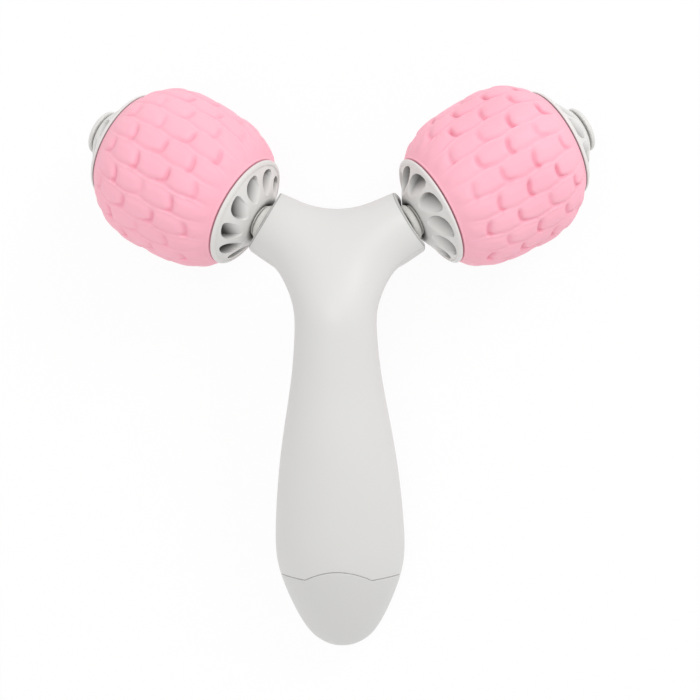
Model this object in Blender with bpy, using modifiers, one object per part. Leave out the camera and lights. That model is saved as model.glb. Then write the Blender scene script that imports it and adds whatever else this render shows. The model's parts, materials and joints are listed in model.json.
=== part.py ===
"""Massage roller stick: a bent handle whose two arms carry barrel rollers on steel axles.

It lies on a table on its two rollers and its butt, with the arms toward +Y. It is drawn from
the point where the two axle lines meet, and is then moved so that the table is at z = 0 and the
middle of the object is over the origin. Metres, +Z up.
"""
import math

import bmesh
import bpy
from mathutils import Matrix, Vector

# Clearances
GAP = 0.0003
SEAM = 0.0003
RUNNING_GAP = 0.0005
RUNNING_FIT = 0.00008
OVERRUN = 0.02
MERGE_DISTANCE = 0.00001
SHARP_ANGLE = math.radians(40.0)
# Turn of round cutters, so that their edges miss those of the handle
ODD_TURN = math.radians(3.0)

# Directions of the handle and of the axles
HEAD_TILT = math.radians(28.2)
AXLE_RISE = math.radians(32.8)
HANDLE_TILT = math.radians(19.85)
BEND_REACH = 0.0128
BEND_RADIUS = 0.030
BEND_STEPS = 6

# Handle
HANDLE_LENGTH = 0.137
GRIP_WIDTH = 0.0458
GRIP_DEPTH = 0.0380
NECK_WIDTH = 0.0285
NECK_DEPTH = 0.0252
CROTCH_WIDTH = 0.0364
CROTCH_DEPTH = 0.0256
SADDLE_HEIGHT = 0.0202
ARM_RADIUS = 0.0124
ARM_LIFT = 0.0005
ARM_END_WALL = 0.0082
SHELL_WALL = 0.0022
BUTT_FLAT_RADIUS = 0.0032

# Stations from the axle crossing to the butt, as shares of the handle's length, each with
# the share of the way from the neck's size to the grip's
GRIP_STATION_SHARES = (
    (0.175, 0.00),
    (0.292, 0.17),
    (0.416, 0.52),
    (0.540, 0.81),
    (0.672, 0.985),
    (0.762, 1.00),
)
# Stations of the butt, each with its share of the grip's size
BUTT_STATION_SHARES = (
    (0.832, 0.895),
    (0.895, 0.735),
    (0.947, 0.575),
    (0.983, 0.375),
)
# Stations along an arm, as shares of its length, each with its share of the arm's radius
ARM_STATION_SHARES = ((0.60, 1.00), (0.80, 0.965), (0.93, 0.93), (1.05, 0.91), (1.15, 0.77))
CROTCH_STATION_SHARE = 0.052
CROTCH_LIFT_SHARE = 0.45
RING_POINTS = 10

# Butt cap
CAP_SEAM_SHARE = 0.812
CAP_ARCH_WIDTH_SHARE = 0.52
CAP_ARCH_HEIGHT = 0.0034
CAP_LOBE_HEIGHT = 0.0010
CAP_LOBE_STEPS = 6
SPIGOT_LENGTH = 0.006
SPIGOT_WALL = 0.0018

# Roller
ROLLER_STATION = 0.0393
ROLLER_LENGTH = 0.0512
RIM_RADIUS = 0.0202
CROWN_RADIUS = 0.0289
CROWN_POWER = 3.3
SLEEVE_END_WALL = 0.0013
SLEEVE_CROWN_WALL = 0.0032
CORE_WALL = 0.0020
CORE_STATIONS = 3
TREAD_ROWS = 22
TREAD_HALF_CELLS = 8
TREAD_DEPTH = 0.0010
GROOVE_HALF_WIDTH = 0.0009
TREAD_BAND_SHARE = 0.03
TREAD_PHASES = {"left": math.radians(15.0), "right": math.radians(2.6)}
ROLLER_TURNS = {"left": math.radians(-4.0), "right": math.radians(3.5)}
ZIGZAG_SHARE = 0.10

# Louvred ends of the roller
INNER_NOSE_RADIUS = 0.0082
INNER_NOSE_HEIGHT = 0.0074
OUTER_NOSE_RADIUS = 0.0083
OUTER_NOSE_HEIGHT = 0.0106
RIM_LIP = 0.0007
RIM_RISE = 0.0009
END_DEPTH = 0.0062
SCOOP_COUNT = 10
SCOOP_DEPTH = 0.0016
SCOOP_LEAST_DEPTH = 0.0006
SCOOP_BACK_WALL = 0.0024
LOUVRE_SEGMENTS = 20
# Outline of a scoop: share of the way from the nose edge to the rim, and share of the pitch
SCOOP_OUTLINE_SHARES = (
    (0.15, 0.22),
    (0.18, -0.04),
    (0.36, -0.10),
    (0.56, 0.00),
    (0.71, 0.20),
    (0.77, 0.50),
    (0.77, 0.78),
    (0.50, 0.76),
    (0.25, 0.60),
)

# Axle and what is on it
AXLE_RADIUS = 0.0030
AXLE_START = 0.0090
AXLE_FLANGE_RADIUS = 0.0046
AXLE_FLANGE = 0.0022
THREAD_RADIUS = 0.0025
AXLE_SEGMENTS = 12
BUSH_WALL = 0.0015
BUSH_FLANGE_RADIUS = 0.0056
BUSH_FLANGE = 0.0010
BUSH_LENGTH = 0.0090
BUSH_SEGMENTS = 16
WASHER_RADIUS = 0.0057
WASHER_THICKNESS = 0.0008
COLLAR_RADIUS = 0.0072
COLLAR_LENGTH = 0.0028
INNER_COUNTERBORE_DEPTH = 0.0022
OUTER_COUNTERBORE_DEPTH = 0.0065
COUNTERBORE_RADIUS = 0.0060
NUT_CORNER_RADIUS = 0.0046
NUT_HEIGHT = 0.0035
NUT_SIDES = 6
KNOB_RADIUS = 0.0083
KNOB_HEIGHT = 0.0019
KNOB_DOME = 0.0008
KNOB_SHOULDER = 0.0004
KNOB_FLAT_RADIUS = 0.0045
KNOB_WALL = 0.0007
RIB_THICKNESS = 0.0022
SECOND_RIB = 0.0185
MOUTH_WEDGE = math.radians(16.0)
MOUTH_TURN = math.radians(6.0)
MOUTH_CLEARANCE = 0.0004
KNOB_SEGMENTS = 16

# Screws that close the handle, at shares of its length from the axle crossing to the butt
SCREW_STATION_SHARES = (-0.073, 0.215, 0.445, 0.670)
SCREW_RADIUS = 0.0014
SCREW_HEAD_RADIUS = 0.0026
SCREW_HEAD_HEIGHT = 0.0018
SCREW_BELOW_SEAM = 0.0060
SCREW_ABOVE_SEAM = 0.0065
BOSS_RADIUS = 0.0038
SCREW_SEGMENTS = 10

SHELL_COLOUR = (0.72, 0.71, 0.69)
CORE_COLOUR = (0.74, 0.735, 0.71)
TREAD_COLOUR = (0.95, 0.46, 0.56)
STEEL_COLOUR = (0.62, 0.62, 0.64)
BUSH_COLOUR = (0.85, 0.84, 0.80)


def clear_scene():
    for old in list(bpy.data.objects):
        bpy.data.objects.remove(old, do_unlink=True)


def new_collection(name):
    collection = bpy.data.collections.new(name)
    bpy.context.scene.collection.children.link(collection)
    return collection


def new_material(name, colour, roughness, metallic=0.0):
    material = bpy.data.materials.new(name)
    material.use_nodes = True
    shader = material.node_tree.nodes["Principled BSDF"]
    shader.inputs["Base Color"].default_value = (*colour, 1.0)
    shader.inputs["Roughness"].default_value = roughness
    shader.inputs["Metallic"].default_value = metallic
    return material


def object_from(bm, name, collection, smooth=True):
    mesh = bpy.data.meshes.new(name)
    bmesh.ops.recalc_face_normals(bm, faces=bm.faces)
    bm.to_mesh(mesh)
    bm.free()
    if smooth:
        mesh.shade_smooth()
        mesh.set_sharp_from_angle(angle=SHARP_ANGLE)
    thing = bpy.data.objects.new(name, mesh)
    collection.objects.link(thing)
    return thing


def finish_part(thing, frame, material):
    thing.parent = frame
    thing.data.materials.append(material)
    return thing


def hide_cutter(thing, frame):
    thing.parent = frame
    thing.hide_render = True
    thing.display_type = "WIRE"
    return thing


def cut(target, operation, *cutters):
    for cutter in cutters:
        modifier = target.modifiers.new(cutter.name, "BOOLEAN")
        modifier.operation = operation
        modifier.solver = "EXACT"
        modifier.object = cutter


def turned(name, profile, segments, collection, smooth=True):
    """A closed profile of (radius, height), turned about Z. It runs down its outer side."""
    bm = bmesh.new()
    points = [bm.verts.new((radius, 0, height)) for radius, height in profile]
    on_axis = profile[0][0] == 0 and profile[-1][0] == 0
    pairs = list(zip(points, points[1:]))
    if not on_axis:
        pairs.append((points[-1], points[0]))
    for start, end in pairs:
        bm.edges.new((start, end))
    mesh = bpy.data.meshes.new(name)
    bm.to_mesh(mesh)
    bm.free()
    thing = bpy.data.objects.new(name, mesh)
    collection.objects.link(thing)
    screw = thing.modifiers.new("turn", "SCREW")
    screw.axis = "Z"
    screw.angle = math.tau
    screw.steps = segments
    screw.render_steps = segments
    screw.use_merge_vertices = True
    screw.merge_threshold = MERGE_DISTANCE
    screw.use_smooth_shade = smooth
    return thing


def prism(name, outline, axis, low, high, collection):
    """A flat outline in the two axes other than the given one, drawn out from low to high."""
    bm = bmesh.new()
    others = [index for index in range(3) if index != axis]
    ring = []
    for first, second in outline:
        place = Vector()
        place[others[0]] = first
        place[others[1]] = second
        place[axis] = low
        ring.append(bm.verts.new(place))
    face = bm.faces.new(ring)
    grown = bmesh.ops.extrude_face_region(bm, geom=[face])
    shift = Vector()
    shift[axis] = high - low
    moved = [item for item in grown["geom"] if isinstance(item, bmesh.types.BMVert)]
    bmesh.ops.translate(bm, verts=moved, vec=shift)
    return object_from(bm, name, collection, smooth=False)


def rod(name, radius, low, high, segments, collection):
    """A plain cylinder along Z from low to high."""
    bm = bmesh.new()
    bmesh.ops.create_cone(bm, cap_ends=True, segments=segments, radius1=radius,
                          radius2=radius, depth=high - low)
    bmesh.ops.translate(bm, verts=bm.verts, vec=(0, 0, (high + low) / 2))
    return object_from(bm, name, collection)


# Centre line of the handle

def bend_ends():
    """Where the arc over the neck starts and ends, measured along Y."""
    reach = BEND_RADIUS * math.tan((HEAD_TILT + HANDLE_TILT) / 2)
    return -BEND_REACH - reach * math.cos(HANDLE_TILT), -BEND_REACH + reach * math.cos(HEAD_TILT)


def centre_height(y):
    """Height of the handle's middle surface: two slopes joined by an arc over the neck."""
    low, high = bend_ends()
    if y >= high:
        return -math.tan(HEAD_TILT) * y
    crest = math.tan(HEAD_TILT) * BEND_REACH
    if y <= low:
        return crest + math.tan(HANDLE_TILT) * (y + BEND_REACH)
    middle_y = low + BEND_RADIUS * math.sin(HANDLE_TILT)
    start_z = crest + math.tan(HANDLE_TILT) * (low + BEND_REACH)
    middle_z = start_z - BEND_RADIUS * math.cos(HANDLE_TILT)
    return middle_z + math.sqrt(BEND_RADIUS ** 2 - (y - middle_y) ** 2)


def head_point(across, along, out):
    """A point of the tilted head: across in X, along its plane and out of its front."""
    tilt = Matrix.Rotation(-HEAD_TILT, 3, "X")
    return tilt @ Vector((across, along, out))


def axle_frame(side):
    """The frame of one axle: +Z runs outward along it, +X out of the front of the head."""
    outward = head_point(side * math.cos(AXLE_RISE), math.sin(AXLE_RISE), 0).normalized()
    front = head_point(0, 0, 1).normalized()
    upward = outward.cross(front)
    turn = Matrix((front, upward, outward)).transposed()
    return turn.to_4x4()


# Handle

def counter_smooth(values):
    """Sizes for a cage's rings, so that the smoothed surface keeps the wanted ones."""
    result = list(values)
    for index in range(1, len(values) - 1):
        bend = values[index - 1] - 2 * values[index] + values[index + 1]
        result[index] = values[index] - bend / 6
    return result


def grip_rings():
    """Station, half width and half depth of each ring from the neck to the butt."""
    stations = []
    for share, swell in GRIP_STATION_SHARES:
        width = NECK_WIDTH + (GRIP_WIDTH - NECK_WIDTH) * swell
        depth = NECK_DEPTH + (GRIP_DEPTH - NECK_DEPTH) * swell
        stations.append((-share * HANDLE_LENGTH, width / 2, depth / 2))
    for share, size in BUTT_STATION_SHARES:
        stations.append((-share * HANDLE_LENGTH, GRIP_WIDTH / 2 * size, GRIP_DEPTH / 2 * size))
    return stations


def ring(place, across, out, half_width, half_depth):
    """Points round a section, from its front through its right side."""
    points = []
    for index in range(RING_POINTS):
        turn = math.tau * index / RING_POINTS
        points.append(place + across * half_width * math.sin(turn) + out * half_depth * math.cos(turn))
    return points


def crotch_ring(inset):
    """The last ring of the handle, lifted at its front and rear to where the arms part."""
    width = CROTCH_WIDTH / 2 - inset
    depth = CROTCH_DEPTH / 2 - inset
    points = []
    for index in range(RING_POINTS):
        turn = math.tau * index / RING_POINTS
        lift = CROTCH_LIFT_SHARE * SADDLE_HEIGHT * abs(math.cos(turn))
        y = -CROTCH_STATION_SHARE * HANDLE_LENGTH + lift
        points.append(Vector((width * math.sin(turn), y, centre_height(y) + depth * math.cos(turn))))
    return points


def saddle_points(inset):
    """Points over the crotch between the arms, from its front to its rear."""
    depth = CROTCH_DEPTH / 2 - inset
    top = SADDLE_HEIGHT - inset
    foot = -CROTCH_STATION_SHARE * HANDLE_LENGTH + CROTCH_LIFT_SHARE * SADDLE_HEIGHT
    points = []
    for index in range(1, RING_POINTS // 2):
        turn = math.tau * index / RING_POINTS
        points.append(head_point(0, foot + (top - foot) * math.sin(turn), depth * math.cos(turn)))
    return points


def side_lift(side):
    """The arms are a little fuller toward the saddle; +Y of an axle frame is down at right."""
    return -side * ARM_LIFT


def arm_ring(side, station, radius):
    frame = axle_frame(side).to_3x3()
    front = frame.col[0]
    upward = frame.col[1]
    place = frame.col[2] * station + upward * side_lift(side)
    return ring(place, upward, front, radius, radius)


def body_cage(name, inset, arm_length, collection, smooth=True):
    """The whole handle with both arms; inset shrinks it, and a smooth one is a cage."""
    smoothing = (4 + 2 * math.cos(math.tau / RING_POINTS)) / 6 if smooth else 1
    bm = bmesh.new()

    def add_ring(points):
        return [bm.verts.new(point) for point in points]

    def join(first, second):
        for index in range(len(first)):
            after = (index + 1) % len(first)
            bm.faces.new((first[index], first[after], second[after], second[index]))

    rings = grip_rings()
    widths = [CROTCH_WIDTH / 2] + [width for _, width, _ in rings] + [0]
    depths = [CROTCH_DEPTH / 2] + [depth for _, _, depth in rings] + [0]
    if smooth:
        widths = counter_smooth(widths)
        depths = counter_smooth(depths)
    loops = []
    for (station, _, _), width, depth in zip(rings, widths[1:], depths[1:]):
        y = station + inset * abs(station) / HANDLE_LENGTH
        place = Vector((0, y, centre_height(y)))
        half_width = (width - inset) / smoothing
        half_depth = (depth - inset) / smoothing
        loops.append(add_ring(ring(place, Vector((1, 0, 0)), Vector((0, 0, 1)), half_width, half_depth)))
    flat_y = -HANDLE_LENGTH + inset
    flat = ring(Vector((0, flat_y, centre_height(flat_y))), Vector((1, 0, 0)), Vector((0, 0, 1)),
                BUTT_FLAT_RADIUS, BUTT_FLAT_RADIUS)
    loops.append(add_ring(flat))
    for first, second in zip(loops, loops[1:]):
        join(first, second)
    bm.faces.new(loops[-1])

    crotch = add_ring(crotch_ring(inset))
    join(crotch, loops[0])
    saddle = add_ring(saddle_points(inset))
    half = RING_POINTS // 2
    starts = {
        1: crotch[:half + 1] + saddle[::-1],
        -1: [crotch[0]] + saddle + crotch[half:],
    }
    for side, start in starts.items():
        before = start
        for station, size in ARM_STATION_SHARES:
            radius = (ARM_RADIUS * size - inset) / smoothing
            after = add_ring(arm_ring(side, arm_length * station, radius))
            join(before, after)
            before = after
        bm.faces.new(before)
    thing = object_from(bm, name, collection)
    if smooth:
        subdivision = thing.modifiers.new("smooth", "SUBSURF")
        subdivision.levels = 1
        subdivision.render_levels = 1
    return thing


def arm_end():
    """Where an arm's end crosses its axle line; the end is turned to reach out at the saddle."""
    cone = cone_height(mouth_radius(), INNER_NOSE_RADIUS, INNER_NOSE_HEIGHT)
    return ROLLER_STATION - cone - RUNNING_GAP - mouth_radius() * math.tan(MOUTH_TURN)


def mouth_radius():
    return INNER_NOSE_RADIUS + MOUTH_CLEARANCE


def seam_region(name, shift, collection):
    """Everything in front of the handle's middle surface, moved by a shift along Z."""
    reach = HANDLE_LENGTH + OVERRUN
    low, high = bend_ends()
    places = [low + (high - low) * index / BEND_STEPS for index in range(BEND_STEPS + 1)]
    points = [(y, centre_height(y) + shift) for y in [-reach] + places + [reach]]
    points += [(reach, reach), (-reach, reach)]
    return prism(name, points, 0, -reach, reach, collection)


def cap_region(name, shift, collection):
    """Everything below the scalloped seam of the butt cap, moved by a shift along Y."""
    base = -CAP_SEAM_SHARE * HANDLE_LENGTH
    arch = GRIP_WIDTH * CAP_ARCH_WIDTH_SHARE / 2
    outer = GRIP_WIDTH / 2
    reach = HANDLE_LENGTH + OVERRUN
    points = [(reach, -reach), (reach, base + CAP_LOBE_HEIGHT + shift)]
    count = CAP_LOBE_STEPS
    for index in range(count + 1):
        share = 1 - index / count
        x = arch + (outer - arch) * share
        points.append((x, base + CAP_LOBE_HEIGHT * math.sin(math.pi / 2 * share) + shift))
    for index in range(1, 2 * count):
        share = 1 - index / count
        points.append((arch * share, base + CAP_ARCH_HEIGHT * (1 - share ** 2) + shift))
    for index in range(count + 1):
        share = index / count
        x = arch + (outer - arch) * share
        points.append((-x, base + CAP_LOBE_HEIGHT * math.sin(math.pi / 2 * share) + shift))
    points += [(-reach, base + CAP_LOBE_HEIGHT + shift), (-reach, -reach)]
    return prism(name, points, 2, -reach, reach, collection)


def screw_places():
    """Frames on the seam for the screws, turned a little so that no edge meets the middle."""
    for share in SCREW_STATION_SHARES:
        y = -share * HANDLE_LENGTH
        place = Matrix.Translation((0, y, centre_height(y)))
        yield place @ Matrix.Rotation(ODD_TURN, 4, "Z")


def handle_cavity(frame, cutters):
    """The handle's inside, less the screw bosses and the ribs that hold the axles."""
    cavity = body_cage("cavity", SHELL_WALL, arm_end() - ARM_END_WALL, cutters, smooth=False)
    hide_cutter(cavity, frame)
    for number, place in enumerate(screw_places(), 1):
        boss = rod(f"boss_{number}", BOSS_RADIUS, -GRIP_DEPTH, GRIP_DEPTH, SCREW_SEGMENTS, cutters)
        boss.matrix_local = place
        cut(cavity, "DIFFERENCE", hide_cutter(boss, frame))
    for side, word in ((-1, "left"), (1, "right")):
        for number, start in enumerate((AXLE_START + AXLE_FLANGE + GAP, SECOND_RIB), 1):
            rib = rod(f"{word}_rib_{number}", ARM_RADIUS, start, start + RIB_THICKNESS,
                      AXLE_SEGMENTS, cutters)
            rib.matrix_local = axle_frame(side) @ Matrix.Rotation(ODD_TURN, 4, "Z")
            cut(cavity, "DIFFERENCE", hide_cutter(rib, frame))
    return cavity


def open_mouth(side, word, front, rear, frame, cutters):
    """The axle's bore, the collar's pocket and the end of one arm, in both shells."""
    end = arm_end()
    far = end + OVERRUN
    width = ARM_RADIUS + OVERRUN
    bore = rod(f"{word}_bore", AXLE_RADIUS + GAP, AXLE_START, far, AXLE_SEGMENTS, cutters)
    pocket = rod(f"{word}_collar_pocket", mouth_radius(), collar_start() - GAP, far,
                 AXLE_SEGMENTS, cutters)
    rear_mouth = rod(f"{word}_rear_mouth", width, 0, OVERRUN, AXLE_SEGMENTS, cutters)
    front_mouth = rod(f"{word}_front_mouth", width, 0, OVERRUN, AXLE_SEGMENTS, cutters)
    odd_turn = Matrix.Rotation(ODD_TURN, 4, "Z")
    for cutter in (bore, pocket):
        cutter.matrix_local = axle_frame(side) @ odd_turn
    turn = Matrix.Rotation(-side * MOUTH_TURN, 4, "X")
    mouth = axle_frame(side) @ Matrix.Translation((0, 0, end)) @ turn
    rear_mouth.matrix_local = mouth @ odd_turn
    front_mouth.matrix_local = mouth @ Matrix.Rotation(MOUTH_WEDGE, 4, "Y")
    for cutter in (bore, pocket, rear_mouth, front_mouth):
        hide_cutter(cutter, frame)
    cut(front, "DIFFERENCE", front_mouth, pocket, bore)
    cut(rear, "DIFFERENCE", rear_mouth, pocket, bore)


def add_screw(number, place, front, rear, frame, parts, cutters):
    """One screw from the rear, with its hole in the front shell and its well in the rear one."""
    hole = rod(f"screw_hole_{number}", SCREW_RADIUS + GAP, -GRIP_DEPTH, SCREW_ABOVE_SEAM + GAP,
               SCREW_SEGMENTS, cutters)
    well = rod(f"screw_well_{number}", SCREW_HEAD_RADIUS + GAP, -GRIP_DEPTH,
               GAP - SCREW_BELOW_SEAM, SCREW_SEGMENTS, cutters)
    for cutter in (hole, well):
        cutter.matrix_local = place
        hide_cutter(cutter, frame)
    cut(front, "DIFFERENCE", hole)
    cut(rear, "DIFFERENCE", hole, well)
    profile = [
        (0, SCREW_ABOVE_SEAM),
        (SCREW_RADIUS, SCREW_ABOVE_SEAM),
        (SCREW_RADIUS, -SCREW_BELOW_SEAM),
        (SCREW_HEAD_RADIUS, -SCREW_BELOW_SEAM),
        (SCREW_HEAD_RADIUS, -SCREW_BELOW_SEAM - SCREW_HEAD_HEIGHT),
        (0, -SCREW_BELOW_SEAM - SCREW_HEAD_HEIGHT),
    ]
    screw = turned(f"shell_screw_{number}", profile, SCREW_SEGMENTS, parts)
    screw.matrix_local = place
    return screw


def make_handle(frame, parts, cutters, materials):
    """The two shells, their screws and the butt cap."""
    front_half = hide_cutter(seam_region("front_half", SEAM / 2, cutters), frame)
    not_rear = hide_cutter(seam_region("not_rear", -SEAM / 2, cutters), frame)
    cap_side = hide_cutter(cap_region("cap_side", SEAM / 2, cutters), frame)
    cavity = handle_cavity(frame, cutters)
    front = body_cage("front_shell", 0, arm_end(), parts)
    rear = body_cage("rear_shell", 0, arm_end(), parts)
    cut(front, "INTERSECT", front_half)
    cut(rear, "DIFFERENCE", not_rear)
    for shell in (front, rear):
        finish_part(shell, frame, materials["handle"])
        cut(shell, "DIFFERENCE", cap_side, cavity)
    for side, word in ((-1, "left"), (1, "right")):
        open_mouth(side, word, front, rear, frame, cutters)
    for number, place in enumerate(screw_places(), 1):
        screw = add_screw(number, place, front, rear, frame, parts, cutters)
        finish_part(screw, frame, materials["screw"])
    make_butt_cap(frame, parts, cutters, materials["handle"])


def make_butt_cap(frame, parts, cutters, material):
    """The cap below the seam, with a hollow spigot that reaches up inside the shells."""
    end = arm_end()
    seam = -CAP_SEAM_SHARE * HANDLE_LENGTH
    spigot_inset = SHELL_WALL + GAP
    spigot = body_cage("spigot", spigot_inset, end - ARM_END_WALL, cutters, smooth=False)
    core = body_cage("spigot_hollow", spigot_inset + SPIGOT_WALL, end - ARM_END_WALL, cutters,
                     smooth=False)
    reach = HANDLE_LENGTH + OVERRUN
    band_outline = [(-reach, -reach), (reach, -reach), (reach, seam + SPIGOT_LENGTH),
                    (-reach, seam + SPIGOT_LENGTH)]
    band = prism("spigot_band", band_outline, 2, -reach, reach, cutters)
    for cutter in (spigot, core, band):
        hide_cutter(cutter, frame)
    cut(spigot, "INTERSECT", band)
    below_cap_seam = hide_cutter(cap_region("below_cap_seam", -SEAM / 2, cutters), frame)
    cap = body_cage("butt_cap", 0, end, parts)
    finish_part(cap, frame, material)
    cut(cap, "INTERSECT", below_cap_seam)
    cut(cap, "UNION", spigot)
    cut(cap, "DIFFERENCE", core)


# Places along an axle, from the axle crossing outward

def inner_nose():
    return ROLLER_STATION - INNER_NOSE_HEIGHT


def inner_bush_seat():
    return inner_nose() + INNER_COUNTERBORE_DEPTH - GAP


def inner_washer_start():
    return inner_bush_seat() - BUSH_FLANGE - GAP - WASHER_THICKNESS


def collar_start():
    return inner_washer_start() - GAP - COLLAR_LENGTH


def outer_nose():
    return ROLLER_STATION + ROLLER_LENGTH + OUTER_NOSE_HEIGHT


def outer_bush_seat():
    return outer_nose() - OUTER_COUNTERBORE_DEPTH + GAP


def outer_washer_start():
    return outer_bush_seat() + BUSH_FLANGE + GAP


def nut_start():
    return outer_washer_start() + WASHER_THICKNESS + GAP


def nut_end():
    return nut_start() + NUT_HEIGHT


def washer_profile(outer, inner, low, high):
    return [(outer, high), (outer, low), (inner, low), (inner, high)]


def make_axle(side, word, frame, parts, cutters, materials):
    """The axle and the pieces on it that stay still: collar, washers, nut and end knob."""
    holder = bpy.data.objects.new(f"{word}_axle_frame", None)
    parts.objects.link(holder)
    holder.parent = frame
    holder.matrix_local = axle_frame(side)
    shoulder = outer_bush_seat() + BUSH_FLANGE
    axle_profile = [
        (0, nut_end()),
        (THREAD_RADIUS, nut_end()),
        (THREAD_RADIUS, shoulder),
        (AXLE_RADIUS, shoulder),
        (AXLE_RADIUS, AXLE_START + AXLE_FLANGE),
        (AXLE_FLANGE_RADIUS, AXLE_START + AXLE_FLANGE),
        (AXLE_FLANGE_RADIUS, AXLE_START),
        (0, AXLE_START),
    ]
    axle = turned(f"{word}_axle", axle_profile, AXLE_SEGMENTS, parts)
    finish_part(axle, holder, materials["steel"])

    collar_profile = washer_profile(COLLAR_RADIUS, AXLE_RADIUS + GAP, collar_start(),
                                    collar_start() + COLLAR_LENGTH)
    collar = turned(f"{word}_arm_collar", collar_profile, AXLE_SEGMENTS, parts)
    finish_part(collar, holder, materials["core"])

    start = inner_washer_start()
    inner = turned(f"{word}_inner_washer",
                   washer_profile(WASHER_RADIUS, AXLE_RADIUS + GAP, start, start + WASHER_THICKNESS),
                   AXLE_SEGMENTS, parts)
    finish_part(inner, holder, materials["bush"])
    start = outer_washer_start()
    outer = turned(f"{word}_outer_washer",
                   washer_profile(WASHER_RADIUS, THREAD_RADIUS + GAP, start, start + WASHER_THICKNESS),
                   AXLE_SEGMENTS, parts)
    finish_part(outer, holder, materials["steel"])

    nut = rod(f"{word}_lock_nut", NUT_CORNER_RADIUS, nut_start(), nut_end(), NUT_SIDES, parts)
    nut_bore = rod(f"{word}_nut_bore", THREAD_RADIUS + GAP, 0, nut_end() + OVERRUN,
                   AXLE_SEGMENTS, cutters)
    cut(nut, "DIFFERENCE", hide_cutter(nut_bore, holder))
    finish_part(nut, holder, materials["steel"])

    base = outer_nose() + RUNNING_GAP
    top = base + KNOB_HEIGHT
    grip = NUT_CORNER_RADIUS + GAP
    knob_profile = [
        (0, top),
        (KNOB_FLAT_RADIUS, top),
        ((KNOB_FLAT_RADIUS + KNOB_RADIUS) / 2, top - KNOB_SHOULDER),
        (KNOB_RADIUS - KNOB_SHOULDER, top - KNOB_DOME),
        (KNOB_RADIUS, top - KNOB_DOME - KNOB_SHOULDER),
        (KNOB_RADIUS, base + KNOB_SHOULDER),
        (KNOB_RADIUS - KNOB_SHOULDER, base),
        (grip + KNOB_WALL, base),
        (grip + KNOB_WALL, nut_start()),
        (grip, nut_start()),
        (grip, nut_end() + GAP),
        (0, nut_end() + GAP),
    ]
    knob = turned(f"{word}_end_knob", knob_profile, KNOB_SEGMENTS, parts)
    finish_part(knob, holder, materials["core"])
    return holder


# Roller

def crown(share, end_radius, crown_radius):
    """Radius of a barrel at a share of its length."""
    return end_radius + (crown_radius - end_radius) * (1 - abs(2 * share - 1) ** CROWN_POWER)


def bore_end_radius():
    return RIM_RADIUS - SLEEVE_END_WALL


def bore_stations():
    """Heights from a rim to the middle, closer by the rim, with the bore's radius at each."""
    stations = []
    for index in range(CORE_STATIONS + 1):
        height = ROLLER_LENGTH / 2 * (1 - math.cos(math.pi / 2 * index / CORE_STATIONS))
        radius = crown(height / ROLLER_LENGTH, bore_end_radius(), CROWN_RADIUS - SLEEVE_CROWN_WALL)
        stations.append((height, radius))
    return stations


def cone_height(radius, nose_radius, nose_height):
    """Height of an end's cone, which rises from the rim's lip to the edge of the nose."""
    lip = RIM_RADIUS - RIM_LIP
    return RIM_RISE + (nose_height - RIM_RISE) * (lip - radius) / (lip - nose_radius)


def core_profile(nose_radius, nose_height, counterbore_depth):
    """Half of the core, nose up, with the rim's plane at zero height."""
    bush_radius = AXLE_RADIUS + RUNNING_FIT + BUSH_WALL + GAP
    hub_radius = bush_radius + CORE_WALL
    floor = nose_height - counterbore_depth
    scoop_outer = nose_radius + (RIM_RADIUS - nose_radius) * max(SCOOP_OUTLINE_SHARES)[0]
    profile = [
        (nose_radius, nose_height),
        (RIM_RADIUS - RIM_LIP, RIM_RISE),
        (RIM_RADIUS, RIM_LIP),
        (RIM_RADIUS, 0),
    ]
    inside = []
    for height, radius in bore_stations():
        seat = min(height, ROLLER_LENGTH / 2 - SEAM / 2)
        profile.append((radius - GAP, -seat))
        if height > END_DEPTH:
            inside.append((radius - GAP - CORE_WALL, -seat))
    profile += reversed(inside)
    profile += [
        (bore_end_radius(), -END_DEPTH),
        (scoop_outer - SCOOP_BACK_WALL, -END_DEPTH),
        (hub_radius, floor - SCOOP_BACK_WALL),
        (hub_radius, floor - BUSH_LENGTH),
        (bush_radius, floor - BUSH_LENGTH),
        (bush_radius, floor),
        (COUNTERBORE_RADIUS, floor),
        (COUNTERBORE_RADIUS, nose_height),
    ]
    return profile


def scoop_cutter(name, nose_radius, nose_height, collection):
    """Leaf-shaped scoops round the nose, each with a flat floor that falls toward the rim."""
    pitch = math.tau / SCOOP_COUNT
    middle = sum(turn for _, turn in SCOOP_OUTLINE_SHARES) / len(SCOOP_OUTLINE_SHARES)
    outline = []
    for share, turn in SCOOP_OUTLINE_SHARES:
        radius = nose_radius + (RIM_RADIUS - nose_radius) * share
        angle = (middle - turn) * pitch
        outline.append((radius * math.cos(angle), radius * math.sin(angle)))
    near = min(x for x, _ in outline)
    far = max(x for x, _ in outline)
    start = cone_height(near, nose_radius, nose_height) - SCOOP_LEAST_DEPTH
    bm = bmesh.new()
    for count in range(SCOOP_COUNT):
        turned_by = Matrix.Rotation((count - middle) * pitch, 3, "Z")
        floor = []
        roof = []
        for x, y in outline:
            low = start - (start + SCOOP_DEPTH) * (x - near) / (far - near)
            floor.append(bm.verts.new(turned_by @ Vector((x, y, low))))
            roof.append(bm.verts.new(turned_by @ Vector((x, y, nose_height + OVERRUN))))
        bm.faces.new(floor)
        bm.faces.new(roof)
        for index in range(len(floor)):
            after = (index + 1) % len(floor)
            bm.faces.new((floor[index], floor[after], roof[after], roof[index]))
    return object_from(bm, name, collection, smooth=False)


def bush_profile():
    """A flanged bush, flange up, with the flange's underside at zero height."""
    inner = AXLE_RADIUS + RUNNING_FIT
    outer = inner + BUSH_WALL
    return [
        (BUSH_FLANGE_RADIUS, BUSH_FLANGE),
        (BUSH_FLANGE_RADIUS, 0),
        (outer, 0),
        (outer, -BUSH_LENGTH),
        (inner, -BUSH_LENGTH),
        (inner, BUSH_FLANGE),
    ]


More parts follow.
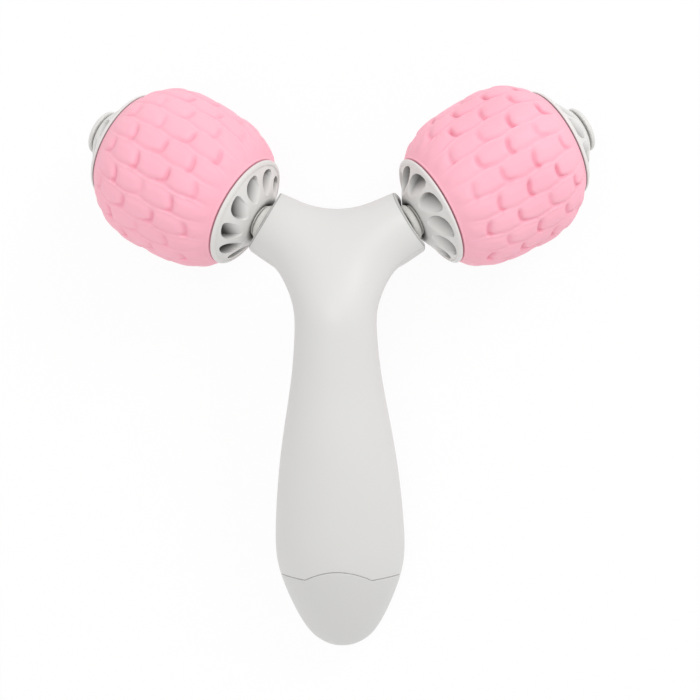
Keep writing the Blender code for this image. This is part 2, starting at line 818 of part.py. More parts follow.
def tread_sleeve(name, phase, collection, cutters, holder):
    """The rubber sleeve: rows of raised cells, each row set half a cell from the next."""
    columns = TREAD_HALF_CELLS + 2
    bm = bmesh.new()
    bmesh.ops.create_grid(bm, x_segments=columns, y_segments=TREAD_ROWS, size=1)

    def column_of(place):
        return (place.x + 1) / 2 * columns

    def row_of(place):
        return (place.y + 1) / 2 * TREAD_ROWS

    spare = []
    for edge in bm.edges:
        ends = [(round(column_of(vert.co)), round(row_of(vert.co))) for vert in edge.verts]
        (column, row), (_, other_row) = min(ends), max(ends)
        if row != other_row and 1 < column < columns - 1 and (column + row) % 2 == 0:
            spare.append(edge)
    bmesh.ops.dissolve_edges(bm, edges=spare, use_verts=False)
    cells = [face for face in bm.faces
             if 1 < column_of(face.calc_center_median()) < columns - 1]
    pitch = math.tau / TREAD_ROWS
    for vert in bm.verts:
        column = round(column_of(vert.co))
        row = round(row_of(vert.co))
        band = TREAD_BAND_SHARE
        share = band + (1 - 2 * band) * (column - 1) / TREAD_HALF_CELLS
        radius = crown(min(max(share, 0), 1), RIM_RADIUS, CROWN_RADIUS) - TREAD_DEPTH
        zigzag = ZIGZAG_SHARE if (column + row) % 2 else -ZIGZAG_SHARE
        if column in (0, columns):
            share = column / columns
            radius = RIM_RADIUS
            zigzag = 0
        angle = phase + (row + zigzag) * pitch
        height = GAP + (ROLLER_LENGTH - 2 * GAP) * share
        vert.co = (radius * math.cos(angle), radius * math.sin(angle), height)
    bmesh.ops.remove_doubles(bm, verts=bm.verts, dist=MERGE_DISTANCE)
    bmesh.ops.recalc_face_normals(bm, faces=bm.faces)
    bmesh.ops.inset_individual(bm, faces=cells, thickness=GROOVE_HALF_WIDTH, depth=TREAD_DEPTH,
                               use_even_offset=True)
    bmesh.ops.holes_fill(bm, edges=[edge for edge in bm.edges if edge.is_boundary],
                         sides=TREAD_ROWS)
    sleeve = object_from(bm, name, collection, smooth=False)
    profile = [(0, ROLLER_LENGTH + OVERRUN), (bore_end_radius(), ROLLER_LENGTH + OVERRUN)]
    profile += [(radius, ROLLER_LENGTH - height) for height, radius in bore_stations()]
    profile += [(radius, height) for height, radius in bore_stations()[-2::-1]]
    profile += [(bore_end_radius(), -OVERRUN), (0, -OVERRUN)]
    bore = turned(f"{name}_bore", profile, LOUVRE_SEGMENTS, cutters)
    cut(sleeve, "DIFFERENCE", hide_cutter(bore, holder))
    return sleeve


def make_roller(word, axle_holder, parts, cutters, materials):
    """All that turns on one axle, held by an empty on the axle line at the inner rim."""
    holder = bpy.data.objects.new(f"{word}_roller_frame", None)
    parts.objects.link(holder)
    holder.parent = axle_holder
    turn = Matrix.Rotation(ROLLER_TURNS[word], 4, "Z")
    holder.matrix_local = Matrix.Translation((0, 0, ROLLER_STATION)) @ turn
    flip = Matrix.Rotation(math.pi, 4, "X")
    ends = (
        ("inner", INNER_NOSE_RADIUS, INNER_NOSE_HEIGHT, INNER_COUNTERBORE_DEPTH, flip),
        ("outer", OUTER_NOSE_RADIUS, OUTER_NOSE_HEIGHT, OUTER_COUNTERBORE_DEPTH,
         Matrix.Translation((0, 0, ROLLER_LENGTH))),
    )
    for end, nose_radius, nose_height, counterbore, place in ends:
        core = turned(f"{word}_{end}_core", core_profile(nose_radius, nose_height, counterbore),
                      LOUVRE_SEGMENTS, parts, smooth=False)
        scoops = scoop_cutter(f"{word}_{end}_scoops", nose_radius, nose_height, cutters)
        cut(core, "DIFFERENCE", hide_cutter(scoops, holder))
        bush = turned(f"{word}_{end}_bush", bush_profile(), BUSH_SEGMENTS, parts)
        finish_part(core, holder, materials["core"])
        finish_part(bush, holder, materials["bush"])
        core.matrix_local = place
        scoops.matrix_local = place
        seat = nose_height - counterbore + GAP
        bush.matrix_local = place @ Matrix.Translation((0, 0, seat))
    sleeve = tread_sleeve(f"{word}_tread_sleeve", TREAD_PHASES[word], parts, cutters, holder)
    finish_part(sleeve, holder, materials["tread"])


def stand_on_table(frame, parts):
    """Move the whole object so that it stands on z = 0 with its middle over the origin."""
    bpy.context.view_layer.update()
    graph = bpy.context.evaluated_depsgraph_get()
    places = []
    for thing in parts.objects:
        if thing.type != "MESH":
            continue
        shape = thing.evaluated_get(graph)
        places += [shape.matrix_world @ vert.co for vert in shape.data.vertices]
    low_y = min(place.y for place in places)
    high_y = max(place.y for place in places)
    frame.location = (0, -(low_y + high_y) / 2, -min(place.z for place in places))
    bpy.context.view_layer.update()


def build():
    clear_scene()
    parts = new_collection("massage_roller_stick")
    cutters = new_collection("cutters")
    frame = bpy.data.objects.new("stick_frame", None)
    parts.objects.link(frame)
    materials = {
        "handle": new_material("handle_plastic", SHELL_COLOUR, 0.42),
        "screw": new_material("screw_steel", STEEL_COLOUR, 0.3, 1.0),
        "core": new_material("roller_plastic", CORE_COLOUR, 0.38),
        "steel": new_material("axle_steel", STEEL_COLOUR, 0.28, 1.0),
        "bush": new_material("bush_nylon", BUSH_COLOUR, 0.5),
        "tread": new_material("tread_rubber", TREAD_COLOUR, 0.6),
    }
    make_handle(frame, parts, cutters, materials)
    for side, word in ((-1, "left"), (1, "right")):
        axle_holder = make_axle(side, word, frame, parts, cutters, materials)
        make_roller(word, axle_holder, parts, cutters, materials)
    stand_on_table(frame, parts)


build()
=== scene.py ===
"""Looks of the massage roller stick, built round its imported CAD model."""
import json
import math

import bmesh
import bpy
import numpy as np
from mathutils import Matrix, Vector


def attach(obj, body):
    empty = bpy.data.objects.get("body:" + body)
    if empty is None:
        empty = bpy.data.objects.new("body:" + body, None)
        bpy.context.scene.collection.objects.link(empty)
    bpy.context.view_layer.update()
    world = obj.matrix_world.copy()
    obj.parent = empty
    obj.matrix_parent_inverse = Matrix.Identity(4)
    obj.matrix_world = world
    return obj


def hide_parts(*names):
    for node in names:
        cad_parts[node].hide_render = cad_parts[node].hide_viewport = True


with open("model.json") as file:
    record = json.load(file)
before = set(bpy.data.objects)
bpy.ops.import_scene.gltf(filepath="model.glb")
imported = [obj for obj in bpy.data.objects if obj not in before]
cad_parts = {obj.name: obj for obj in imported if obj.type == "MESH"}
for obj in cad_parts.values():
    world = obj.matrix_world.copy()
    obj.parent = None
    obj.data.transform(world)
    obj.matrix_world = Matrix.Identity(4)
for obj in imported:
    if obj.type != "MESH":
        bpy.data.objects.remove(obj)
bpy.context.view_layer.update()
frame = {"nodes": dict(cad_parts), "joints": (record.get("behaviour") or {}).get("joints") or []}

# Directions and sizes of the CAD model, in metres
HEAD_TILT = math.radians(28.2)
AXLE_RISE = math.radians(32.8)
HANDLE_TILT = math.radians(19.85)
BEND_REACH = 0.0128
BEND_RADIUS = 0.030
HANDLE_LENGTH = 0.137
GRIP_WIDTH = 0.0458
GRIP_DEPTH = 0.0380
NECK_WIDTH = 0.0285
NECK_DEPTH = 0.0252
CROTCH_WIDTH = 0.0364
CROTCH_DEPTH = 0.0256
SADDLE_HEIGHT = 0.0202
ARM_RADIUS = 0.0124
ARM_LIFT = 0.0005
ARM_END = 0.03073
BUTT_FLAT_RADIUS = 0.0032
# Share of the handle's length, and how far it has swelled from the neck to the grip
GRIP_STATIONS = ((0.112, 0.03), (0.175, 0.00), (0.292, 0.17), (0.416, 0.52), (0.540, 0.81),
                 (0.672, 0.985), (0.762, 1.00))
# Share of the handle's length, and shares of the grip's width and depth
BUTT_STATIONS = ((0.832, 0.898, 0.893), (0.895, 0.752, 0.72), (0.947, 0.592, 0.545),
                 (0.987, 0.385, 0.33))
BUTT_TIP = 1.008
# Shares of the arm's length and of its radius
ARM_STATIONS = ((0.60, 1.00), (0.80, 0.965), (0.93, 0.93), (1.05, 0.91), (1.15, 0.77))
CROTCH_STATION = 0.052
CROTCH_LIFT = 0.45
RING_POINTS = 16
CAP_SEAM = 0.812
CAP_ARCH_HALF = GRIP_WIDTH * 0.52 / 2
CAP_ARCH_HEIGHT = 0.0034
CAP_LOBE_HEIGHT = 0.0010
ROLLER_STATION = 0.0393
ROLLER_LENGTH = 0.0512
RIM_RADIUS = 0.0202
CROWN_RADIUS = 0.0289
CROWN_POWER = 3.3
# The open ends of the arms: how their faces lean and turn, their edge and their pocket
MOUTH_WEDGE = math.radians(21.0)
MOUTH_TURN = math.radians(8.0)
MOUTH_END = 0.0311
MOUTH_RADIUS = 0.0094
MOUTH_EDGE = 0.0007
POCKET_RADIUS = 0.0086
POCKET_DEPTH = 0.0042
POCKET_BORE = 0.0030
# The screw wells in the rear, as shares of the handle's length
SCREW_STATIONS = (-0.073, 0.215, 0.445, 0.670)
WELL_RADIUS = 0.0029
WELL_LENGTH = 0.030
WELL_DROP = 0.0207
# The seams of the shells and the cap: rounding, half gap, depth and the lip that closes them
SEAM_ROLL = 0.00025
SEAM_GAP = 0.00012
SEAM_DEPTH = 0.0008
FRONT_SEAM_DEPTH = 0.0006
SEAM_LIP = 0.0012
# How far each roller has turned at rest
ROLLER_TURNS = {"left": math.radians(-4.0), "right": math.radians(3.5)}
SIDES = ((-1, "left"), (1, "right"))

# The point where the axle lines cross
joint = frame["joints"][0]
ORIGIN = Vector(joint["pos_m"]) - ROLLER_STATION * Vector(joint["axis"]).normalized()


# Camera, fitted to the outlines in the photo

camera = bpy.data.objects.new("camera", bpy.data.cameras.new("camera"))
bpy.context.scene.collection.objects.link(camera)
camera.location = (0.03486, 0.00727, 0.63061)
camera.rotation_euler = (0, math.radians(2.95), 0)
camera.data.sensor_width = 36.0
camera.data.lens = 87.43
camera.data.clip_start = 0.01
bpy.context.scene.camera = camera


# Materials

CLOUD_SCALE = 22.0
NOISE_LOW = 0.3
NOISE_HIGH = 0.7


def new_material(name, colour, roughness, metallic=0.0):
    """A material with its nodes, its links and its shader."""
    material = bpy.data.materials.new(name)
    material.use_nodes = True
    shader = material.node_tree.nodes["Principled BSDF"]
    shader.inputs["Base Color"].default_value = (*colour, 1)
    shader.inputs["Roughness"].default_value = roughness
    shader.inputs["Metallic"].default_value = metallic
    return material, material.node_tree.nodes, material.node_tree.links, shader


def add_noise(nodes, links, scale, detail=3.0):
    """A noise value that stays with the object."""
    place = nodes.new("ShaderNodeTexCoord")
    noise = nodes.new("ShaderNodeTexNoise")
    noise.inputs["Scale"].default_value = scale
    noise.inputs["Detail"].default_value = detail
    links.new(place.outputs["Object"], noise.inputs["Vector"])
    return noise.outputs["Fac"]


def ramp(nodes, links, source, low, high):
    """Map a noise value onto a range of numbers."""
    node = nodes.new("ShaderNodeMapRange")
    node.inputs["From Min"].default_value = NOISE_LOW
    node.inputs["From Max"].default_value = NOISE_HIGH
    node.inputs["To Min"].default_value = low
    node.inputs["To Max"].default_value = high
    links.new(source, node.inputs["Value"])
    return node.outputs["Result"]


def blend_colour(nodes, links, factor, first, second):
    """A colour between two others; either may be a socket."""
    mix = nodes.new("ShaderNodeMix")
    mix.data_type = "RGBA"
    links.new(factor, mix.inputs["Factor"])
    for socket, value in ((mix.inputs["A"], first), (mix.inputs["B"], second)):
        if isinstance(value, tuple):
            socket.default_value = (*value, 1)
        else:
            links.new(value, socket)
    return mix.outputs["Result"]


def bump(nodes, links, shader, height, distance):
    """Let a value press the surface in and out by a small distance."""
    node = nodes.new("ShaderNodeBump")
    node.inputs["Distance"].default_value = distance
    node.inputs["Strength"].default_value = 1.0
    links.new(height, node.inputs["Height"])
    links.new(node.outputs["Normal"], shader.inputs["Normal"])


def moulded_plastic(name, colour, shade, roughness, grain, painted_shade_colour=None):
    """Satin moulded plastic: fine grain, faint clouds of colour and gloss, and painted shade in
    hollows.
    """
    material, nodes, links, shader = new_material(name, colour, roughness)
    clouds = add_noise(nodes, links, CLOUD_SCALE, 2.0)
    tint = blend_colour(nodes, links, ramp(nodes, links, clouds, 0, 1), colour, shade)
    if painted_shade_colour:
        # Painted shade: a value stored on each point darkens the colour in hollows where shade
        # falls
        hollow = nodes.new("ShaderNodeAttribute")
        hollow.attribute_name = "hollow"
        tint = blend_colour(nodes, links, hollow.outputs["Fac"], tint, painted_shade_colour)
    links.new(tint, shader.inputs["Base Color"])
    gloss = add_noise(nodes, links, 5 * CLOUD_SCALE, 4.0)
    links.new(ramp(nodes, links, gloss, roughness - 0.04, roughness + 0.05),
              shader.inputs["Roughness"])
    bump(nodes, links, shader, add_noise(nodes, links, grain, 2.0), 0.000012)
    return material


def soft_rubber(name, colour, painted_shade_colour, roughness):
    """Matt rubber: fine pores, faint clouds, and painted shade in the tread's hollows with painted
    highlight on its raised lines.
    """
    material, nodes, links, shader = new_material(name, colour, roughness)
    # Painted shade and painted highlight, from a value stored on each point of the tread
    hollow = nodes.new("ShaderNodeAttribute")
    hollow.attribute_name = "hollow"
    base = blend_colour(nodes, links, hollow.outputs["Fac"], colour, painted_shade_colour)
    clouds = ramp(nodes, links, add_noise(nodes, links, 34.0, 2.0), 0.0, 0.16)
    links.new(blend_colour(nodes, links, clouds, base, painted_shade_colour), shader.inputs["Base Color"])
    gloss = add_noise(nodes, links, 240.0, 4.0)
    links.new(ramp(nodes, links, gloss, roughness - 0.06, roughness + 0.06),
              shader.inputs["Roughness"])
    shader.inputs["Specular IOR Level"].default_value = 0.35
    # A weak red glow stands for light that scatters inside the rubber
    shader.inputs["Emission Color"].default_value = (1.0, 0.08, 0.12, 1)
    shader.inputs["Emission Strength"].default_value = 0.05
    bump(nodes, links, shader, add_noise(nodes, links, 2600.0, 3.0), 0.00003)
    return material


def turned_steel(name, colour, roughness):
    """Steel with a fine grain left by the lathe."""
    material, nodes, links, shader = new_material(name, colour, roughness, 1.0)
    gloss = add_noise(nodes, links, 900.0, 3.0)
    links.new(ramp(nodes, links, gloss, roughness - 0.07, roughness + 0.1),
              shader.inputs["Roughness"])
    shade = tuple(0.8 * value for value in colour)
    clouds = ramp(nodes, links, add_noise(nodes, links, 130.0), 0, 1)
    tint = blend_colour(nodes, links, clouds, colour, shade)
    links.new(tint, shader.inputs["Base Color"])
    bump(nodes, links, shader, add_noise(nodes, links, 3200.0), 0.000008)
    return material


# The last colour given to the handle and roller-end plastics is painted shade, for the arms'
# pockets and the ends' scoops
HANDLE = moulded_plastic("satin_handle_plastic", (0.722, 0.716, 0.702), (0.703, 0.697, 0.681),
                         0.43, 2400.0, (0.06, 0.06, 0.06))
CAP = moulded_plastic("satin_cap_plastic", (0.684, 0.680, 0.668), (0.666, 0.661, 0.648),
                      0.36, 2400.0)
END = moulded_plastic("roller_end_plastic", (0.80, 0.79, 0.77), (0.77, 0.76, 0.74),
                      0.38, 2000.0, (0.07, 0.068, 0.065))
KNOB = moulded_plastic("knob_plastic", (0.765, 0.757, 0.735), (0.735, 0.727, 0.703), 0.38, 2000.0)
# The rubber's second colour is painted shade in the tread's notches and along the pads' lower
# edges
RUBBER = soft_rubber("pink_tread_rubber", (0.999, 0.523, 0.621), (0.76, 0.27, 0.37), 0.52)
NYLON = moulded_plastic("natural_nylon", (0.80, 0.79, 0.75), (0.74, 0.73, 0.69), 0.45, 1800.0)
STEEL = turned_steel("axle_steel_turned", (0.60, 0.60, 0.61), 0.28)
ZINC = turned_steel("zinc_screw_steel", (0.56, 0.56, 0.58), 0.34)


# Mesh helpers

def object_from(bm, name, material, body, place, angle=35.0):
    """A finished piece, moved to its place and shaded smooth with sharp creases."""
    mesh = bpy.data.meshes.new(name)
    bm.transform(place)
    bm.to_mesh(mesh)
    bm.free()
    mesh.shade_smooth()
    mesh.set_sharp_from_angle(angle=math.radians(angle))
    mesh.materials.append(material)
    thing = bpy.data.objects.new(name, mesh)
    bpy.context.scene.collection.objects.link(thing)
    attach(thing, body)
    return thing


def rounded(points, radius, steps=4):
    """An open profile of (r, z) points whose corners are rounded off."""
    result = [Vector(points[0])]
    for before, corner, after in zip(points, points[1:], points[2:]):
        before, corner, after = Vector(before), Vector(corner), Vector(after)
        reach = min(radius, (corner - before).length * 0.49, (after - corner).length * 0.49)
        start = corner + (before - corner).normalized() * reach
        end = corner + (after - corner).normalized() * reach
        for index in range(steps + 1):
            share = index / steps
            first = start.lerp(corner, share)
            second = corner.lerp(end, share)
            result.append(first.lerp(second, share))
    result.append(Vector(points[-1]))
    return [(point.x, point.y) for point in result]


def lathe(profile, segments):
    """A surface turned about Z from a profile of (r, z) points that may end on the axis."""
    bm = bmesh.new()
    rings = []
    for radius, height in profile:
        if radius < 1e-7:
            rings.append([bm.verts.new((0, 0, height))])
            continue
        rings.append([bm.verts.new((radius * math.cos(math.tau * i / segments),
                                    radius * math.sin(math.tau * i / segments), height))
                      for i in range(segments)])
    for low, high in zip(rings, rings[1:]):
        for i in range(segments):
            j = (i + 1) % segments
            if len(high) == 1:
                bm.faces.new((low[i], low[j], high[0]))
            else:
                bm.faces.new((low[i], low[j], high[j], high[i]))
    bmesh.ops.recalc_face_normals(bm, faces=bm.faces)
    return bm


# Centre line and directions, as in the CAD source

def bend_ends():
    """Where the rounded bend of the centre line begins and ends, along Y."""
    reach = BEND_RADIUS * math.tan((HEAD_TILT + HANDLE_TILT) / 2)
    return -BEND_REACH - reach * math.cos(HANDLE_TILT), -BEND_REACH + reach * math.cos(HEAD_TILT)


def centre_height(y):
    """Height of the centre line: the grip's slope, the bend, then the head's slope."""
    low, high = bend_ends()
    if y >= high:
        return -math.tan(HEAD_TILT) * y
    crest = math.tan(HEAD_TILT) * BEND_REACH
    if y <= low:
        return crest + math.tan(HANDLE_TILT) * (y + BEND_REACH)
    middle_y = low + BEND_RADIUS * math.sin(HANDLE_TILT)
    start_z = crest + math.tan(HANDLE_TILT) * (low + BEND_REACH)
    middle_z = start_z - BEND_RADIUS * math.cos(HANDLE_TILT)
    return middle_z + math.sqrt(BEND_RADIUS ** 2 - (y - middle_y) ** 2)


def head_point(across, along, out):
    """A point given in the head's tilted plane."""
    return Matrix.Rotation(-HEAD_TILT, 3, "X") @ Vector((across, along, out))


def axle_frame(side):
    """Directions of one arm: X to the front, Z outward along the axle."""
    outward = head_point(side * math.cos(AXLE_RISE), math.sin(AXLE_RISE), 0).normalized()
    front = head_point(0, 0, 1).normalized()
    return Matrix((front, outward.cross(front), outward)).transposed().to_4x4()


def axle_place(side):
    return Matrix.Translation(ORIGIN) @ axle_frame(side)


# Handle skin

def counter_smooth(values):
    """Sizes for a cage whose smoothed skin passes through the given ones."""
    result = list(values)
    for index in range(1, len(values) - 1):
        bend = values[index - 1] - 2 * values[index] + values[index + 1]
        result[index] = values[index] - bend / 6
    return result


def ring(place, across, out, half_width, half_depth):
    """Points of an oval round a place."""
    turns = [math.tau * index / RING_POINTS for index in range(RING_POINTS)]
    return [place + across * half_width * math.sin(turn) + out * half_depth * math.cos(turn)
            for turn in turns]


def body_cage():
    """The cage of the whole handle with both arms."""
    smoothing = (4 + 2 * math.cos(math.tau / RING_POINTS)) / 6
    bm = bmesh.new()

    def add_ring(points):
        return [bm.verts.new(point) for point in points]

    def join(first, second):
        for index in range(len(first)):
            after = (index + 1) % len(first)
            bm.faces.new((first[index], first[after], second[after], second[index]))

    rings = [(share, (NECK_WIDTH + (GRIP_WIDTH - NECK_WIDTH) * swell) / 2,
              (NECK_DEPTH + (GRIP_DEPTH - NECK_DEPTH) * swell) / 2)
             for share, swell in GRIP_STATIONS]
    rings += [(share, GRIP_WIDTH / 2 * width, GRIP_DEPTH / 2 * depth)
              for share, width, depth in BUTT_STATIONS]
    widths = counter_smooth([CROTCH_WIDTH / 2] + [width for _, width, _ in rings] + [0])
    depths = counter_smooth([CROTCH_DEPTH / 2] + [depth for _, _, depth in rings] + [0])
    right, forward = Vector((1, 0, 0)), Vector((0, 0, 1))
    loops = []
    for (share, _, _), width, depth in zip(rings, widths[1:], depths[1:]):
        y = -share * HANDLE_LENGTH
        place = Vector((0, y, centre_height(y)))
        loops.append(add_ring(ring(place, right, forward, width / smoothing, depth / smoothing)))
    tip = Vector((0, -BUTT_TIP * HANDLE_LENGTH, centre_height(-HANDLE_LENGTH)))
    loops.append(add_ring(ring(tip, right, forward, BUTT_FLAT_RADIUS, BUTT_FLAT_RADIUS)))
    for first, second in zip(loops, loops[1:]):
        join(first, second)
    bm.faces.new(loops[-1])

    crotch = []
    for index in range(RING_POINTS):
        turn = math.tau * index / RING_POINTS
        y = -CROTCH_STATION * HANDLE_LENGTH + CROTCH_LIFT * SADDLE_HEIGHT * abs(math.cos(turn))
        crotch.append(bm.verts.new((CROTCH_WIDTH / 2 * math.sin(turn), y,
                                    centre_height(y) + CROTCH_DEPTH / 2 * math.cos(turn))))
    join(crotch, loops[0])
    foot = -CROTCH_STATION * HANDLE_LENGTH + CROTCH_LIFT * SADDLE_HEIGHT
    half = RING_POINTS // 2
    saddle = []
    for index in range(1, half):
        turn = math.tau * index / RING_POINTS
        saddle.append(bm.verts.new(head_point(0, foot + (SADDLE_HEIGHT - foot) * math.sin(turn),
                                              CROTCH_DEPTH / 2 * math.cos(turn))))
    starts = {1: crotch[:half + 1] + saddle[::-1], -1: [crotch[0]] + saddle + crotch[half:]}
    for side, before in starts.items():
        front, upward, outward = axle_frame(side).to_3x3().col
        for station, size in ARM_STATIONS:
            radius = ARM_RADIUS * size / smoothing
            place = outward * ARM_END * station - upward * side * ARM_LIFT
            after = add_ring(ring(place, upward, front, radius, radius))
            join(before, after)
            before = after
        bm.faces.new(before)
    bmesh.ops.recalc_face_normals(bm, faces=bm.faces)
    return bm


def evaluated(bm, modify):
    """The mesh that modifiers make of another one, as a new bmesh."""
    mesh = bpy.data.meshes.new("draft")
    bm.to_mesh(mesh)
    bm.free()
    thing = bpy.data.objects.new("draft", mesh)
    bpy.context.scene.collection.objects.link(thing)
    modify(thing)
    bpy.context.view_layer.update()
    shape = thing.evaluated_get(bpy.context.evaluated_depsgraph_get())
    result = bmesh.new()
    result.from_mesh(shape.to_mesh())
    shape.to_mesh_clear()
    bpy.data.objects.remove(thing)
    return result


def smooth_body():
    """The smoothed skin of the cage."""
    def modify(thing):
        subdivision = thing.modifiers.new("smooth", "SUBSURF")
        subdivision.levels = 3
    return evaluated(body_cage(), modify)


def with_wells(bm):
    """The body with the four screw wells cut into its rear."""
    cutters = []
    for share in SCREW_STATIONS:
        y = -share * HANDLE_LENGTH
        well = bmesh.new()
        place = Matrix.Translation((0, y + 0.0001, centre_height(y) - WELL_DROP))
        bmesh.ops.create_cone(well, cap_ends=True, segments=40, radius1=WELL_RADIUS,
                              radius2=WELL_RADIUS, depth=WELL_LENGTH, matrix=place)
        mesh = bpy.data.meshes.new("well")
        well.to_mesh(mesh)
        well.free()
        cutter = bpy.data.objects.new("well", mesh)
        bpy.context.scene.collection.objects.link(cutter)
        cutters.append(cutter)

    def modify(thing):
        for cutter in cutters:
            modifier = thing.modifiers.new("well", "BOOLEAN")
            modifier.operation = "DIFFERENCE"
            modifier.solver = "EXACT"
            modifier.object = cutter
    result = evaluated(bm, modify)
    for cutter in cutters:
        bpy.data.objects.remove(cutter)
    return result


def open_mouth(bm, side):
    """Cut one arm's end off and line it: a rounded edge, a flat face and the pocket, with painted
    shade that darkens the pocket.
    """
    place = axle_frame(side)
    back = place.inverted()
    lean = math.tan(MOUTH_WEDGE)

    def warp(sign):
        for vert in bm.verts:
            tilt = max(0, vert.co.x) * lean + side * vert.co.y * math.tan(MOUTH_TURN)
            vert.co.z += sign * tilt

    layers = bm.verts.layers.float
    hollow = layers.get("hollow") or layers.new("hollow")
    bm.transform(back)
    warp(1)
    level = MOUTH_END - MOUTH_EDGE
    bmesh.ops.bisect_plane(bm, geom=bm.verts[:] + bm.edges[:] + bm.faces[:],
                           plane_co=(0, 0, level), plane_no=(0, 0, 1), clear_outer=True)
    rim = [item for item in bm.edges if item.is_boundary and
           all(abs(vert.co.z - level) < 1e-6 for vert in item.verts)]
    pairs = []
    for item in rim:
        corner = item.link_loops[0]
        pairs.append((corner.vert, corner.link_loop_next.vert))
    verts = {vert for pair in pairs for vert in pair}
    rounding = [math.radians(degrees) for degrees in (22, 45, 68, 90)]
    steps = [("in", MOUTH_EDGE * (1 - math.cos(turn)), level + MOUTH_EDGE * math.sin(turn))
             for turn in rounding]
    steps += [("to", MOUTH_RADIUS + 0.0003, MOUTH_END),
              ("to", MOUTH_RADIUS + 0.0001, MOUTH_END - 0.0001),
              ("to", MOUTH_RADIUS, MOUTH_END - 0.0003),
              ("to", POCKET_RADIUS, MOUTH_END - 0.0013),
              ("to", POCKET_RADIUS, MOUTH_END - POCKET_DEPTH),
              ("to", POCKET_BORE, MOUTH_END - POCKET_DEPTH)]
    previous = {vert: vert for vert in verts}
    for kind, amount, height in steps:
        # Painted shade: the pocket's lining gets darker the deeper it lies
        shade = min(1, max(0, (MOUTH_END - 0.0001 - height) / 0.0006))
        now = {}
        for vert in verts:
            radius = Vector((vert.co.x, vert.co.y)).length
            wanted = radius - amount if kind == "in" else amount
            now[vert] = bm.verts.new((vert.co.x * wanted / radius, vert.co.y * wanted / radius,
                                      height))
            now[vert][hollow] = shade
        for first, second in pairs:
            bm.faces.new((previous[second], previous[first], now[first], now[second]))
        previous = now
    warp(-1)
    bm.transform(place)


def cap_line(x):
    """Height of the scalloped seam of the butt cap at a distance from the middle."""
    share = abs(x) / CAP_ARCH_HALF
    if share <= 1:
        return -CAP_SEAM * HANDLE_LENGTH + CAP_ARCH_HEIGHT * (1 - share ** 2)
    outer = min(1, (abs(x) - CAP_ARCH_HALF) / (GRIP_WIDTH / 2 - CAP_ARCH_HALF))
    return -CAP_SEAM * HANDLE_LENGTH + CAP_LOBE_HEIGHT * math.sin(math.pi / 2 * outer)


def keep_side(bm, height_of, axis, sign, gap):
    """Keep what lies on one side of a curved seam, less half its gap."""
    for vert in bm.verts:
        vert.co[axis] -= height_of(vert.co)
    normal = [0, 0, 0]
    normal[axis] = -sign
    place = [0, 0, 0]
    place[axis] = sign * gap
    bmesh.ops.bisect_plane(bm, geom=bm.verts[:] + bm.edges[:] + bm.faces[:], plane_co=place,
                           plane_no=normal, clear_outer=True)
    for vert in bm.verts:
        vert.co[axis] += height_of(vert.co)


def roll_edges(bm, radius, steps):
    """Round every open edge over and turn it inward; steps are (across, down) after that."""
    bm.normal_update()
    pairs = []
    sides = {}
    for edge in bm.edges:
        if not edge.is_boundary:
            continue
        corner = edge.link_loops[0]
        first, second = corner.vert, corner.link_loop_next.vert
        pairs.append((first, second))
        across = (second.co - first.co).normalized().cross(corner.face.normal)
        for vert in (first, second):
            sides[vert] = sides.get(vert, Vector()) + across
    normals = {vert: vert.normal.copy() for vert in sides}
    rounds = [(radius * math.sin(turn), radius * (1 - math.cos(turn)))
              for turn in (math.radians(30), math.radians(60), math.radians(90))]
    previous = {vert: vert for vert in sides}
    for across, down in rounds + steps:
        now = {vert: bm.verts.new(vert.co + side.normalized() * across - normals[vert] * down)
               for vert, side in sides.items()}
        for first, second in pairs:
            bm.faces.new((previous[second], previous[first], now[first], now[second]))
        previous = now


def make_handle():
    """The smooth skins of the two shells and of the butt cap."""
    body = with_wells(smooth_body())
    for side, _ in SIDES:
        open_mouth(body, side)
    seam = SEAM_ROLL + SEAM_GAP
    short_lap = [(SEAM_ROLL, FRONT_SEAM_DEPTH)]
    long_lap = [(SEAM_ROLL, SEAM_DEPTH), (SEAM_ROLL + SEAM_LIP, SEAM_DEPTH)]
    cap = body.copy()
    keep_side(cap, lambda place: cap_line(place.x), 1, -1, seam)
    roll_edges(cap, SEAM_ROLL, long_lap)
    keep_side(body, lambda place: cap_line(place.x), 1, 1, seam)
    front = body.copy()
    keep_side(front, lambda place: centre_height(place.y), 2, 1, seam)
    roll_edges(front, SEAM_ROLL, short_lap)
    keep_side(body, lambda place: centre_height(place.y), 2, -1, seam)
    roll_edges(body, SEAM_ROLL, long_lap)
    place = Matrix.Translation(ORIGIN)
    skins = ((cap, "butt_cap", CAP), (front, "front_shell", HANDLE), (body, "rear_shell", HANDLE))
    for bm, name, material in skins:
        thing = object_from(bm, f"{name}_skin", material, "handle", place)
        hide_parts(name)


make_handle()


# Rollers

# Rows round the roller, half pads along it, and the share left plain at each end
TREAD_ROWS = 22
HALF_PADS = 8
TREAD_BAND = 0.03
ZIGZAG = 0.04
ROW_STEPS = 16
LENGTH_STEPS = 140
TREAD_PHASES = {"left": math.radians(15.0), "right": math.radians(2.6)}
FIRST_ROW = {"left": -1, "right": 0}
# The notches of four rows after each other: U is hooked along the pad's lower edge,
# L leans and is nearly straight
NOTCH_KINDS = {"left": ("LULU", "LUUU", "LULU", "LULU"), "right": ("ULUU", "LULU", "LLUU", "LUUU")}
# The strength of the weakest notches
NOTCH_STRENGTH = {"left": 0.15, "right": 0.42}
# Heights of the tread's forms, and how wide they are
GROOVE_DEPTH = 0.0006
PAD_BASE = 0.00040
PILLOW_RISE, PILLOW_WIDTH = 0.00044, 0.0032
EDGE_DROP, EDGE_WIDTH = 0.00030, 0.0008
NET_RISE, NET_WIDTH = 0.00026, 0.00046
NOTCH_DROP, NOTCH_WIDTH = 0.00112, 0.00072
DIP_DROP, DIP_WIDTH = 0.00022, 0.0015
CROWN_SHIFT = 0.0004
SLEEVE_GAP = 0.0003
SLEEVE_LIP = 0.0004
